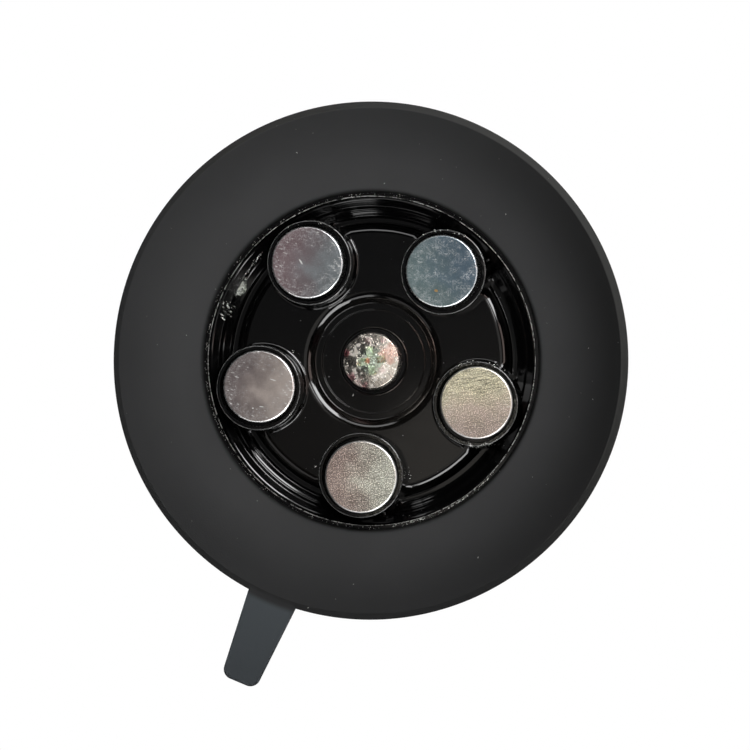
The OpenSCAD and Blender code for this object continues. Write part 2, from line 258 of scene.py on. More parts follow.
def black_gloss(settings):
    """Gloss black moulding: a rippled wall, smudges, dirt and dust, a rim edge that is worn and painted with
    a highlight, painted highlights along the cup edges, and a painted reflection towards one side.
    """
    f = Finish("black_gloss")
    radius, angle, height = f.polar()
    smudge = f.noise(70.0, 4.0, 0.6)
    dust = f.specks(700.0, 0.14, 0.12)
    # Painted reflection: the gloss inside the wall is painted lighter and warmer towards one side, as a soft
    # reflection.
    side = radius * f.math("COSINE", angle - settings.painted_sheen_turn) + (f.noise(30.0, 3.0) - 0.5) * 30.0 * MM
    painted_sheen = f.smooth(side, -24.0 * MM, 20.0 * MM) * f.smooth(radius, settings.wall_r, settings.wall_r - MM)
    # Breakup mask for the worn and painted lines on the rim and the cups' edges.
    wear_and_painted_light = f.smooth(f.noise(700.0, 3.0, 0.7), 0.38, 0.56) * f.smooth(f.noise(60.0, 2.0), 0.28, 0.5)
    # Partly wear and partly painted highlight: a broken pale line along the rim's inner edge.
    edge = settings.rim_r
    rim = f.smooth(radius, edge - 0.16 * MM, edge - 0.06 * MM)
    rim = rim * f.smooth(radius, edge + 0.16 * MM, edge + 0.06 * MM)
    rim = rim * height.below(settings.rim_z + 0.2 * MM) * wear_and_painted_light
    sector = 2 * math.pi / len(MAGNETS)
    local = (f.math("FRACT", (angle - settings.cup_turn) / sector + 0.5) - 0.5) * sector
    x = radius * f.math("COSINE", local) - settings.cup_pitch_r
    y = radius * f.math("SINE", local)
    reach = f.math("SQRT", x * x + y * y) - settings.cup_r
    on_cups = height.below(settings.rim_z / 2)
    # Painted highlight: a thin pale line along each cup's outer rounded edge.
    cup = f.smooth(reach, -0.40 * MM, -0.28 * MM) * f.smooth(reach, 0.0, -0.12 * MM)
    cup = cup * on_cups * (0.35 + wear_and_painted_light * 0.65)
    grime = f.smooth(reach, -1.4 * MM, -1.1 * MM) * f.smooth(reach, 0.1 * MM, -0.1 * MM) * on_cups
    grime = grime * f.smooth(f.math("COSINE", angle - settings.grime_turn), 0.3, 0.8)
    grime = grime * f.smooth(smudge, 0.35, 0.65)
    grime = grime * f.smooth(f.noise(1500.0, 3.0, 0.7), 0.40, 0.66)
    base = f.mix(painted_sheen, settings.colour, settings.painted_sheen_colour)
    base = f.mix(grime, base, settings.grime_colour)
    base = f.mix(dust * 0.5, base, settings.dust_colour)
    base = f.mix(rim, base, settings.worn_and_highlight_colour)
    base = f.mix(cup, base, settings.cup_highlight_colour)
    lines = f.noise(1.0, 2.0, 0.6, f.vector(radius * 3200.0, angle * 1.5, height * 3200.0))
    ripple = f.noise(1.0, 1.0, 0.4, f.vector(radius * 1300.0, angle * 0.6, height * 1300.0))
    ripple = ripple * f.smooth(radius, settings.wall_r, settings.wall_r + 0.6 * MM)
    along = f.math("ABSOLUTE", f.math("COSINE", angle - settings.ripple_turn))
    ripple = ripple * f.smooth(along, 0.70, 0.85)
    ripple = ripple * f.smooth(radius, settings.ripple_r + 0.5 * MM, settings.ripple_r)
    return f.surface(
        base_color=base,
        metallic=rim * 0.7,
        roughness=settings.roughness + f.smooth(smudge, 0.45, 0.75) * 0.05 + (dust + rim + grime) * 0.3,
        normal=f.bump(lines * settings.line_depth + ripple * settings.ripple_depth, 1.0, 1.0),
        specular_ior_level=settings.mirror,
    )


PALE_FROST_AND_SHEEN = (0.62, 0.63, 0.63)
BRIGHT_NICK = (0.92, 0.92, 0.90)


def magnet_plating(name, centre, face_r, look):
    """Plated disc: a tint that changes across it, partly its colour and partly painted reflection, grain, a
    brushed patch, crazing and nicks, and a painted highlight round its bevel.
    """
    f = Finish(name)
    place = f.centred(centre, -math.radians(PICTURE_DEG))
    x = f.add("ShaderNodeSeparateXYZ", None, {"Vector": place})
    y = x.other("Y")
    radius = f.math("SQRT", x * x + y * y)
    cloud = f.noise(150.0, 3.0, 0.6, place)
    grain = f.smooth(f.noise(3000.0, 2.0, 0.6, place), 0.46, 0.72)
    slant = y + x * look["brush_slope"]
    brush = f.noise(1.0, 2.0, 0.6, f.vector(x * 260.0, slant * 2100.0, 0.0)) - 0.5
    brush = brush * f.smooth(y + (cloud - 0.5) * 9.0 * MM, 0.10 * face_r, -0.45 * face_r) * look["brush"]
    patch = f.noise(450.0, 3.0, 0.6, place) + (radius / face_r - 0.6) * look["frost_edge"]
    craze = f.math("ABSOLUTE", f.noise(look["frost_scale"], 3.0, 0.65, place) - 0.5)
    frost = f.smooth(craze, 0.045, 0.012) * f.smooth(patch, 0.38, 0.68) * look["frost"]
    nicks = f.specks(1250.0, 0.30, 0.30, f.centred(centre, 0.6, (0.6, 1.5, 1.0)), "2D")
    nicks = nicks + f.specks(900.0, 0.24, 0.25, f.centred(centre, -0.5, (0.4, 1.8, 1.0)), "2D")
    nicks = nicks * f.smooth(patch, 0.46, 0.60) * look["nicks"]
    # Painted highlight: the bevel round the face is painted pale, as a bright line round the disc.
    bevel = f.smooth(radius, face_r - 0.5 * MM, face_r - 0.3 * MM)
    # The tint across each disc is partly the plating's colour and partly painted reflection, brighter on one
    # side.
    way = x * math.cos(look["tint_and_sheen_turn"]) + y * math.sin(look["tint_and_sheen_turn"])
    tint_and_sheen_blend = f.smooth(way + (cloud - 0.5) * 16.0 * MM, -0.7 * face_r, 0.7 * face_r)
    base = f.mix(tint_and_sheen_blend, look["tint"], look["tint_and_sheen_b"])
    tone = 1.0 + (grain - 0.25) * look["grain"] * 1.6 + brush * 2.3 + (cloud - 0.5) * look["cloud"]
    base = f.shade(base, tone)
    base = f.mix(f.clamp(frost * 0.60 + bevel * 0.6), base, PALE_FROST_AND_SHEEN)
    base = f.mix(nicks * 0.6, base, BRIGHT_NICK)
    for right, down, long, wide, turn, colour in look["spots"]:
        along = (x - right * MM) * math.cos(turn) + (y - down * MM) * math.sin(turn)
        across = (y - down * MM) * math.cos(turn) - (x - right * MM) * math.sin(turn)
        along, across = along / (long * MM), across / (wide * MM)
        base = f.mix(f.smooth(along * along + across * across, 1.3, 0.7), base, colour)
    rough = look["roughness"] + cloud * 0.08 + frost * 0.1 - bevel * 0.18
    height = brush + grain * look["grain"] + (frost + nicks) * 0.5
    return f.surface(base_color=base, metallic=1.0, roughness=rough, normal=f.bump(height, 0.3, 0.00004))


# Tints and painted reflections on the screw head: distance from its axis, direction, size, colour, strength
HEAD_TINTS_AND_REFLECTIONS = [
    (5.9, 135.0, 3.4, (0.90, 0.58, 0.48), 0.75),
    (7.5, -5.0, 1.1, (0.78, 0.22, 0.25), 0.9),
    (7.3, -62.0, 1.5, (0.78, 0.34, 0.38), 0.8),
    (7.3, -97.0, 1.6, (0.80, 0.40, 0.42), 0.7),
    (1.3, -22.0, 1.0, (0.84, 0.40, 0.27), 0.9),
]


def bright_zinc(settings):
    """Bright zinc with pink and green tints of its passivation, tints and painted reflections on the screw
    head, pits, and thread roots painted darker as shade.
    """
    f = Finish("bright_zinc")
    radius, _, height = f.polar()
    mottle = f.noise(1300.0, 3.0, 0.6)
    tint_noise = f.noise(240.0, 3.0, 0.6)
    head = height.below(NUT_TOP_Z / 2)
    pits = f.specks(1700.0, 0.5, 0.3) * head
    inner = f.smooth(radius + (tint_noise - 0.5) * 4.0 * MM, 4.4 * MM, 2.6 * MM)
    base = f.mix(inner * 0.8, settings.colour, settings.tint_low)
    base = f.mix(f.smooth(tint_noise, 0.56, 0.66) * 0.5, base, settings.tint_high)
    # Painted reflections: coloured patches on the head, partly its own tint.
    for away, direction, size, colour, strength in HEAD_TINTS_AND_REFLECTIONS:
        near = f.centred(polar_point(away * MM, direction), 0.0, (1.0, 1.0, 0.0))
        gap = f.add("ShaderNodeVectorMath", {"operation": "LENGTH"}, {0: near}, "Value")
        patch = f.smooth(gap + (tint_noise - 0.5) * 3.0 * size * MM, size * MM, size * 0.4 * MM)
        base = f.mix(patch * head * strength, base, colour)
    bloom = f.smooth(f.noise(430.0, 3.0, 0.55), 0.45, 0.62) * head
    base = f.shade(base, 0.78 + mottle * 0.44 - pits * 0.2)
    # Painted shade: the thread's roots are darkened on the free end of the stud.
    root = f.smooth(radius, STUD_R - 0.15 * MM, STUD_R - settings.thread_depth)
    root = root * height.above(NUT_TOP_Z) * height.below(STUD_TIP_Z - settings.tip_bevel)
    base = f.shade(base, 1.0 - root * 0.75)
    return f.surface(
        base_color=base,
        metallic=1.0 - bloom * 0.36,
        roughness=settings.roughness + mottle * 0.08 + pits * 0.15 + root * 0.2,
        normal=f.bump((mottle + pits * 0.4) * (0.03 + head * 0.97), 0.5, 0.00012),
    )


def seal_rubber():
    """Smooth black sealing rubber with a slight sheen."""
    f = Finish("seal_rubber")
    bloom = f.noise(180.0, 3.0)
    return f.surface(
        base_color=f.mix(bloom, (0.0015, 0.0015, 0.0017), (0.004, 0.004, 0.0042)),
        roughness=0.26 + bloom * 0.2,
        normal=f.bump(f.noise(2400.0), 0.2, 0.00005),
        specular_ior_level=0.08,
    )


def set_glue():
    """Hardened clear glue: cloudy grey lumps in a glassy skin."""
    f = Finish("set_glue")
    cloud = f.smooth(f.noise(480.0, 3.0, 0.6), 0.42, 0.66)
    return f.surface(
        base_color=f.mix(cloud, (0.10, 0.10, 0.09), (0.80, 0.80, 0.76)),
        roughness=0.12 + cloud * 0.25,
        alpha=0.45 + cloud * 0.55,
        normal=f.bump(f.noise(1500.0), 0.3, 0.00010),
    )


def glue_lens(core):
    """Dab of clear glue: milky at its core and fading out to a glassy edge."""
    f = Finish("glue_lens")
    away = f.add("ShaderNodeVectorMath", {"operation": "LENGTH"}, {0: f.centred(core)}, "Value")
    ragged = f.noise(900.0, 3.0, 0.6)
    milk = f.smooth(away + (ragged - 0.5) * 2.6 * MM, 3.3 * MM, 1.4 * MM)
    return f.surface(
        base_color=f.mix(milk, (0.03, 0.032, 0.028), (0.46, 0.48, 0.42)),
        roughness=0.12 + ragged * 0.25,
        alpha=0.15 + milk * 0.8,
        normal=f.bump(ragged, 0.4, 0.00015),
    )


def pale_dust():
    """Dry pale dust and lint."""
    f = Finish("pale_dust")
    tone = f.noise(900.0, 2.0)
    base = f.mix(tone, (0.16, 0.16, 0.155), (0.42, 0.41, 0.39))
    return f.surface(base_color=base, roughness=0.85 + tone * 0.1)


def pale_floor(settings):
    """Pale studio floor that only shows from above and fades out round the mount."""
    f = Finish("pale_floor")
    radius, _, _ = f.polar()
    grain = f.noise(8.0, 3.0)
    shader = f.add("ShaderNodeBsdfPrincipled", None, {
        "Base Color": f.mix(grain, Vector(settings.floor_colour) * 0.97, settings.floor_colour),
        "Roughness": 0.8,
    })
    clear = f.add("ShaderNodeBsdfTransparent")
    under = f.add("ShaderNodeNewGeometry", output="Backfacing")
    gone = f.math("MAXIMUM", under, f.smooth(radius, LIP_R * 2.2, LIP_R * 6.0))
    f.add("ShaderNodeOutputMaterial", None, {
        "Surface": f.add("ShaderNodeMixShader", None, {0: gone, 1: shader, 2: clear})})
    return f.material


class Shape(Graph):
    """A geometry tree with named inputs, which is turned into a plain mesh."""

    def __init__(self, name):
        super().__init__(bpy.data.node_groups.new(name, "GeometryNodeTree"))
        self.values = {}
        self.tree.interface.new_socket("Geometry", in_out="INPUT", socket_type="NodeSocketGeometry")
        self.tree.interface.new_socket("Geometry", in_out="OUTPUT", socket_type="NodeSocketGeometry")
        self.source = self.tree.nodes.new("NodeGroupInput")

    def size(self, name, value, kind="NodeSocketFloat"):
        """A named input and the value that this piece gives it."""
        socket = self.tree.interface.new_socket(name, in_out="INPUT", socket_type=kind)
        self.values[socket.identifier] = value
        return Wire(self, self.source.outputs[name])

    def geometry(self):
        return Wire(self, self.source.outputs["Geometry"])

    def piece(self, obj, geometry, material):
        """Ends the tree, runs it on an object and leaves the object with the plain result."""
        real = self.add("GeometryNodeRealizeInstances", None, {"Geometry": geometry})
        painted = self.add("GeometryNodeSetMaterial", None, {"Geometry": real, "Material": material})
        self.add("NodeGroupOutput", None, {"Geometry": painted})
        modifier = obj.modifiers.new(self.tree.name, "NODES")
        modifier.node_group = self.tree
        for identifier, value in self.values.items():
            modifier[identifier] = value
        return plain(obj)


def plain(obj):
    """Turns an object's modifiers into its mesh."""
    graph = bpy.context.evaluated_depsgraph_get()
    mesh = bpy.data.meshes.new_from_object(obj.evaluated_get(graph))
    obj.modifiers.clear()
    obj.data = mesh
    return obj


def new_object(name, mesh):
    obj = bpy.data.objects.new(name, mesh)
    bpy.context.collection.objects.link(obj)
    return obj


def from_bmesh(name, bm):
    mesh = bpy.data.meshes.new(name)
    bm.to_mesh(mesh)
    bm.free()
    return new_object(name, mesh)


def merged_copy(node):
    """A CAD node's mesh with its triangles joined again into whole faces."""
    bm = bmesh.new()
    bm.from_mesh(frame["nodes"][node].data)
    bmesh.ops.remove_doubles(bm, verts=bm.verts, dist=MERGE_GAP)
    bmesh.ops.dissolve_limit(bm, angle_limit=FLAT_ANGLE, verts=bm.verts, edges=bm.edges)
    return bm


def cut_edges(bm, place, normal, **sides):
    """Cuts a mesh along a plane, clears the given sides and gives the edges of the cut."""
    cut = bmesh.ops.bisect_plane(bm, geom=bm.verts[:] + bm.edges[:] + bm.faces[:], dist=1e-7,
                                 plane_co=place, plane_no=normal, **sides)
    return [e for e in cut["geom_cut"] if isinstance(e, bmesh.types.BMEdge)]


def turn_section(bm, section, centre, steps):
    """Turns a section once round an upright axis, into a closed shell."""
    bmesh.ops.spin(bm, geom=section, cent=centre, axis=UP, angle=2 * math.pi, steps=steps, use_merge=True)
    bmesh.ops.remove_doubles(bm, verts=bm.verts, dist=MERGE_GAP)
    bmesh.ops.recalc_face_normals(bm, faces=bm.faces)


def round_edges(obj, width, crease_deg, segments=2):
    rounding = obj.modifiers.new("edges", "BEVEL")
    rounding.width = width
    rounding.segments = segments
    rounding.limit_method = "ANGLE"
    rounding.angle_limit = math.radians(crease_deg)
    return plain(obj)


def soften(obj, crease_deg, bevel=0.0):
    """Rounds an object's sharp edges and shades the rest smoothly."""
    if bevel:
        round_edges(obj, bevel, crease_deg)
    obj.data.shade_smooth()
    obj.data.set_sharp_from_angle(angle=math.radians(crease_deg))
    weight = obj.modifiers.new("normals", "WEIGHTED_NORMAL")
    weight.keep_sharp = True
    weight.weight = 100
    return plain(obj)


def dress(obj, material, slot, *nodes):
    """Gives a piece its finish and hands it to the frame in place of CAD nodes."""
    obj.data.materials.clear()
    obj.data.materials.append(material)
    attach(obj, BODY)
    if nodes:
        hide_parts(*nodes)


def colour_setting(name, description, default):
    return FloatVectorProperty(name=name, description=description, subtype="COLOR", default=default,
                               min=0.0, max=1.0)


def length_setting(name, description, millimetres):
    return FloatProperty(name=name, description=description, unit="LENGTH", default=millimetres * MM)


def angle_setting(name, description, degrees):
    return FloatProperty(name=name, description=description, subtype="ANGLE", default=math.radians(degrees))


def level_setting(name, description, default):
    return FloatProperty(name=name, description=description, subtype="FACTOR", default=default,
                         min=0.0, max=1.0)


class RubberSettings(bpy.types.PropertyGroup):
    colour: colour_setting("Rubber", "Colour of the suction ring", (0.0375, 0.0378, 0.0385))
    # The pull tab is lighter and bluer than the ring.
    tab_colour: colour_setting("Tab", "Colour of the handled pull tab", (0.073, 0.083, 0.091))
    dust_colour: colour_setting("Dust", "Colour of the dust in the grain", (0.20, 0.20, 0.195))
    grain: level_setting("Grain", "Strength of the moulded grain", 0.25)
    # The rubber is painted darker towards this joint, as shade.
    joint_r: length_setting("Joint radius", "Radius of the joint round the rim, where dirt darkens it", 46.4)
    # Painted shade: the side towards which the outer part of the ring is darkened.
    shaded_turn: angle_setting("Rubbed side", "Direction of the side where the bloom is rubbed off", 150.0)
    # Painted highlight: the side on which the lip's edge is painted lighter, and its colour.
    lit_turn: angle_setting("Scuffed side", "Direction of the side where the lip is scuffed", 113.0)
    lit_colour: colour_setting("Scuffed lip", "Colour of the lip's scuffed edge", (0.052, 0.052, 0.050))
    tab_root_w: length_setting("Tab root", "Width of the pull tab at the lip", 14.4)
    tab_tip_w: length_setting("Tab tip", "Width of the pull tab at its tip", 10.2)
    tab_corner_r: length_setting("Tab corners", "Rounding of the pull tab's corners", 2.8)
    tab_t: length_setting("Tab thickness", "Thickness of the pull tab", 1.8)
    tab_lift: length_setting("Tab lift", "Height of the pull tab's underside", 0.7)
    tab_edge_r: length_setting("Tab edges", "Rounding of the pull tab's long edges", 0.5)


class HousingSettings(bpy.types.PropertyGroup):
    colour: colour_setting("Housing", "Colour of the moulded housing", (0.0010, 0.0010, 0.0011))
    # Painted reflection: the colour and side of the lighter, warmer sheen painted on the gloss inside the
    # wall.
    painted_sheen_colour: colour_setting("Film", "Colour where a film of dirt lies", (0.0034, 0.0030, 0.0027))
    painted_sheen_turn: angle_setting("Film side", "Direction of the side where the film is thickest", 235.0)
    mirror: level_setting("Mirror", "Strength of the gloss", 0.40)
    # Painted highlight: colour of the thin line along the cups' outer edges.
    cup_highlight_colour: colour_setting("Rubbed cups", "Colour of the cups' rubbed edges", (0.085, 0.085, 0.085))
    grime_colour: colour_setting("Grime", "Colour of the grime on the cups' rims", (0.055, 0.052, 0.040))
    grime_turn: angle_setting("Grime side", "Direction of the side where the cups' rims are grimy", 205.0)
    cup_pitch_r: length_setting("Cup circle", "Radius of the circle of the cups' axes", 31.8)
    cup_turn: angle_setting("Cup turn", "Direction of the first cup", 36.0)
    cup_r: length_setting("Cup radius", "Outer radius of a cup's rim", 11.8)
    wall_r: length_setting("Wall radius", "Where the rippled trough and wall begin", 38.5)
    ripple_depth: length_setting("Ripple", "Depth of the wall's ripples", 0.12)
    ripple_r: length_setting("Ripple radius", "Where the ripples end", 42.0)
    ripple_turn: angle_setting("Ripple side", "Direction of one of the two sides with ripples", 82.7)
    line_depth: length_setting("Tool lines", "Depth of the fine tool lines", 0.004)
    dust_colour: colour_setting("Dust", "Colour of dust on the gloss", (0.10, 0.10, 0.10))
    # Partly wear and partly painted highlight: colour of the broken line along the rim's inner edge.
    worn_and_highlight_colour: colour_setting("Worn rim", "Colour where the rim is rubbed bare", (0.30, 0.30, 0.29))
    roughness: level_setting("Roughness", "Roughness of the clean gloss", 0.07)
    rim_r: length_setting("Rim radius", "Radius of the rim's inner edge, where it is worn", 45.6)
    rim_z: length_setting("Rim height", "Height of the rim's edge", 5.5)


class MetalSettings(bpy.types.PropertyGroup):
    colour: colour_setting("Zinc", "Main colour of the plated fasteners", (0.83, 0.77, 0.69))
    tint_low: colour_setting("Green tint", "First tint of the plating's passivation", (0.60, 0.70, 0.58))
    tint_high: colour_setting("Pink tint", "Second tint of the plating's passivation", (0.86, 0.58, 0.56))
    roughness: level_setting("Roughness", "Roughness of the plating", 0.12)
    pitch: length_setting("Pitch", "Pitch of the stud's thread", 1.25)
    thread_depth: length_setting("Thread depth", "Depth of the stud's thread", 0.68)
    tip_bevel: length_setting("Tip bevel", "Bevel at the stud's tip", 1.0)


class ResidueSettings(bpy.types.PropertyGroup):
    crumb: length_setting("Crumb", "Size of a crumb of glue", 0.34)
    fleck: length_setting("Fleck", "Size of a fleck of dust", 0.36)
    flecks: FloatProperty(name="Flecks", description="Flecks of dust on a square metre", default=3600.0)
    lint: IntProperty(name="Lint", description="Bits of lint in the joint round the rim", default=240)
    joint_r: length_setting("Joint radius", "Radius of the joint between rim and rubber", 46.3)
    joint_z: length_setting("Joint height", "Height of the joint between rim and rubber", 5.45)
    seed: IntProperty(name="Seed", description="Choice of the random places", default=7)


class StageSettings(bpy.types.PropertyGroup):
    photo_turn: angle_setting("Turn", "Direction of the picture's right side round the stud", PICTURE_DEG)
    lean_right: angle_setting("Lean right", "How far the camera leans to the picture's right", 7.0)
    lean_down: angle_setting("Lean down", "How far the camera leans to the picture's lower edge", 1.3)
    distance: length_setting("Distance", "From the camera to the magnets' faces", 1200.0)
    view_w: length_setting("View width", "Width of the view at the magnets' faces", 206.6)
    aim_right: length_setting("Aim right", "From the stud's axis to the picture's centre, rightwards", 1.75)
    aim_down: length_setting("Aim down", "From the stud's axis to the picture's centre, downwards", 4.08)
    floor_colour: colour_setting("Floor", "Colour of the studio floor", (0.80, 0.80, 0.80))
    ambient: level_setting("Ambient", "Level of the soft light all round", 0.06)
    horizon: level_setting("Horizon", "Level of the horizon that gloss and metal mirror", 0.40)
    room: level_setting("Room", "Level of the bright round card that faces the magnets", 0.14)
    room_lean: angle_setting("Room lean", "Lean of the round card to the picture's right", 9.5)
    room_half: angle_setting("Room size", "Half of the angle that the round card fills", 20.5)
    room_edge: angle_setting("Room edge", "Angle over which the round card fades out", 5.0)


def tab_mesh(settings):
    """Pull tab: a tapered strip with a rounded tip, from inside the lip out to its end."""
    root_y = -(LIP_R - 2.0 * MM)
    tip, root, r = settings.tab_tip_w / 2, settings.tab_root_w / 2, settings.tab_corner_r
    low = settings.tab_lift
    side = math.atan2(root - tip, root_y - TAB_TIP_Y)
    steps = 8
    outline = [(-root, root_y)]
    for sign in (-1, 1):
        centre = Vector((sign * (tip + r * math.tan(side) - r / math.cos(side)), TAB_TIP_Y + r))
        first = math.pi + side if sign < 0 else 1.5 * math.pi
        for i in range(steps + 1):
            a = first + (math.pi / 2 - side) * i / steps
            outline.append((centre.x + r * math.cos(a), centre.y + r * math.sin(a)))
    outline.append((root, root_y))
    bm = bmesh.new()
    face = bm.faces.new([bm.verts.new((x, y, low)) for x, y in outline])
    walls = bmesh.ops.extrude_face_region(bm, geom=[face])
    tops = [v for v in walls["geom"] if isinstance(v, bmesh.types.BMVert)]
    bmesh.ops.translate(bm, verts=tops, vec=(0.0, 0.0, settings.tab_t))
    bmesh.ops.recalc_face_normals(bm, faces=bm.faces)
    return bm


def lathed_ring(node, steps):
    """The round part of a CAD node, turned again from its own section with finer steps."""
    bm = merged_copy(node)
    section = cut_edges(bm, (0, 0, 0), (0, 1, 0), clear_inner=True, clear_outer=True)
    keep = {v for e in section for v in e.verts if v.co.x > 0}
    bmesh.ops.delete(bm, geom=[v for v in bm.verts if v not in keep], context="VERTS")
    turn_section(bm, bm.verts[:] + bm.edges[:], (0, 0, 0), steps)
    return bm


class MOUNT_OT_rubber_cup(bpy.types.Operator):
    """Makes the rubber suction ring with its soft-edged pull tab"""
    bl_idname = "mount.rubber_cup"
    bl_label = "Rubber cup"

    def execute(self, context):
        settings = context.scene.mount_rubber
        ring = from_bmesh("suction_ring", lathed_ring("rubber_cup", RING_STEPS))
        tab = round_edges(from_bmesh("tab_blank", tab_mesh(settings)), settings.tab_edge_r, 50, 3)
        joined = ring.modifiers.new("tab", "BOOLEAN")
        joined.operation = "UNION"
        joined.solver = "EXACT"
        joined.object = tab
        plain(ring)
        bpy.data.objects.remove(tab)
        soften(ring, 35)
        dress(ring, ring_rubber(settings), "ring_rubber", "rubber_cup")
        return {"FINISHED"}


class MOUNT_OT_housing(bpy.types.Operator):
    """Makes the gloss black magnet housing"""
    bl_idname = "mount.housing"
    bl_label = "Housing"

    def execute(self, context):
        housing = soften(from_bmesh("housing_shell", merged_copy("magnet_housing")), 28)
        dress(housing, black_gloss(context.scene.mount_housing), "black_gloss", "magnet_housing")
        return {"FINISHED"}


# Finish of each magnet: the tints across it, which hold both the plating's colour and a painted reflection
# that is brighter on one side, and the strength of each kind of mark.
# Turns and places are as in the photo: rightwards, then downwards.
MAGNET_LOOKS = [
    {"tint": (0.282, 0.209, 0.222), "tint_and_sheen_b": (0.255, 0.28, 0.295),
     "tint_and_sheen_turn": 0.2, "roughness": 0.36, "cloud": 0.7,
     "frost": 0.7, "frost_scale": 850.0, "frost_edge": 0.40, "nicks": 0.8, "grain": 0.12, "brush": 0.0,
     "brush_slope": 0.0, "spots": [(-1.75, -0.2, 0.85, 0.22, 1.0, (0.95, 0.94, 0.92))]},
    {"tint": (0.178, 0.243, 0.252), "tint_and_sheen_b": (0.11, 0.157, 0.20),
     "tint_and_sheen_turn": -0.4, "roughness": 0.34, "cloud": 0.6,
     "frost": 0.9, "frost_scale": 1250.0, "frost_edge": 0.12, "nicks": 0.4, "grain": 0.16, "brush": 0.0,
     "brush_slope": 0.0, "spots": [(-1.5, 5.4, 0.50, 0.36, 0.3, (0.50, 0.32, 0.14))]},
    {"tint": (0.54, 0.50, 0.362), "tint_and_sheen_b": (0.405, 0.328, 0.283),
     "tint_and_sheen_turn": 1.45, "roughness": 0.46, "cloud": 0.9,
     "frost": 0.2, "frost_scale": 2200.0, "frost_edge": 0.5, "nicks": 0.2, "grain": 0.8, "brush": 1.0,
     "brush_slope": 0.22, "spots": []},
    {"tint": (0.330, 0.256, 0.225), "tint_and_sheen_b": (0.528, 0.523, 0.447),
     "tint_and_sheen_turn": 0.0, "roughness": 0.46, "cloud": 0.9,
     "frost": 0.2, "frost_scale": 2200.0, "frost_edge": 0.5, "nicks": 0.1, "grain": 1.1, "brush": 0.3,
     "brush_slope": 0.5, "spots": []},
    {"tint": (0.235, 0.198, 0.196), "tint_and_sheen_b": (0.545, 0.475, 0.437),
     "tint_and_sheen_turn": 0.2, "roughness": 0.38, "cloud": 0.4,
     "frost": 0.5, "frost_scale": 1000.0, "frost_edge": 0.55, "nicks": 0.9, "grain": 0.08, "brush": 0.0,
     "brush_slope": 0.0, "spots": [
         (4.0, -1.8, 0.9, 0.13, 0.3, BRIGHT_NICK), (0.8, 5.6, 0.6, 0.15, 0.1, BRIGHT_NICK),
         (-1.6, 6.0, 0.25, 0.2, 0.1, BRIGHT_NICK)]},
]
MAGNET_BEVEL = 0.4 * MM


def disc_mesh(centre, size, bevel, steps):
    """Bevelled disc with its axis up, turned in fine steps."""
    r, half = size.x / 2, size.z / 2
    lower = [(0.0, -half), (r - bevel, -half), (r, bevel - half)]
    section = lower + [(x, -z) for x, z in reversed(lower)]
    bm = bmesh.new()
    verts = [bm.verts.new(centre + Vector((x, 0.0, z))) for x, z in section]
    edges = [bm.edges.new(pair) for pair in zip(verts, verts[1:])]
    turn_section(bm, verts + edges, centre, steps)
    bmesh.ops.dissolve_limit(bm, angle_limit=FLAT_ANGLE, verts=bm.verts, edges=bm.edges)
    return bm


class MOUNT_OT_magnets(bpy.types.Operator):
    """Makes the plated disc magnets, each with its own finish"""
    bl_idname = "mount.magnets"
    bl_label = "Magnets"

    def execute(self, context):
        for node, look in zip(MAGNETS, MAGNET_LOOKS, strict=True):
            low, high = (Vector(corner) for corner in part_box(node))
            centre = (low + high) / 2
            bm = disc_mesh(centre, high - low, MAGNET_BEVEL, MAGNET_STEPS)
            disc = soften(from_bmesh(node + "_disc", bm), 30, 0.12 * MM)
            plating = magnet_plating(node + "_plating", centre, (high - low).x / 2, look)
            dress(disc, plating, "magnet_plating", node)
        return {"FINISHED"}


def thread_shape(settings, low_z):
    """Geometry tree of the free end of the stud, with a right-hand thread and a bevelled tip."""
    t = Shape("stud_thread")
    outer = t.size("Outer Radius", STUD_R)
    depth = t.size("Thread Depth", settings.thread_depth)
    pitch = t.size("Pitch", settings.pitch)
    low = t.size("Start Height", low_z)
    high = t.size("Tip Height", STUD_TIP_Z)
    bevel = t.size("Tip Bevel", settings.tip_bevel)
    length = high - low
    blank = t.add("GeometryNodeMeshCylinder", {"fill_type": "NGON"}, {
        "Vertices": 64, "Side Segments": 260, "Radius": outer, "Depth": length})
    place = t.add("GeometryNodeInputPosition")
    x = t.add("ShaderNodeSeparateXYZ", None, {"Vector": place})
    y, z = x.other("Y"), x.other("Z") + low + length / 2
    turn = t.math("ARCTAN2", y, x) / (2 * math.pi)
    phase = t.math("FRACT", z / pitch - turn)
    ridge = t.clamp(1.45 - t.math("ABSOLUTE", phase - 0.5) * 3.2)
    radius = t.math("MINIMUM", outer - depth * (1.0 - ridge), outer - bevel + (high - z))
    scale = radius / outer
    moved = t.add("ShaderNodeCombineXYZ", None, {"X": x * scale, "Y": y * scale, "Z": z})
    return t, t.add("GeometryNodeSetPosition", None, {"Geometry": blank, "Position": moved})


class MOUNT_OT_screw(bpy.types.Operator):
    """Makes the screw: pan head and shank, and the threaded free end of the stud"""
    bl_idname = "mount.screw"
    bl_label = "Screw"

    def execute(self, context):
        settings = context.scene.mount_metal
        zinc = bright_zinc(settings)
        joint_z = NUT_TOP_Z - 0.4 * MM
        bm = merged_copy("centre_screw")
        bmesh.ops.holes_fill(bm, edges=cut_edges(bm, (0, 0, joint_z), UP, clear_outer=True))
        head = soften(from_bmesh("screw_head", bm), 30, 0.1 * MM)
        dress(head, zinc, "zinc_plating", "centre_screw")
        tree, geometry = thread_shape(settings, joint_z)
        thread = tree.piece(new_object("stud_thread", bpy.data.meshes.new("stud_thread")), geometry, zinc)
        soften(thread, 40)
        dress(thread, zinc, "zinc_plating")
        return {"FINISHED"}


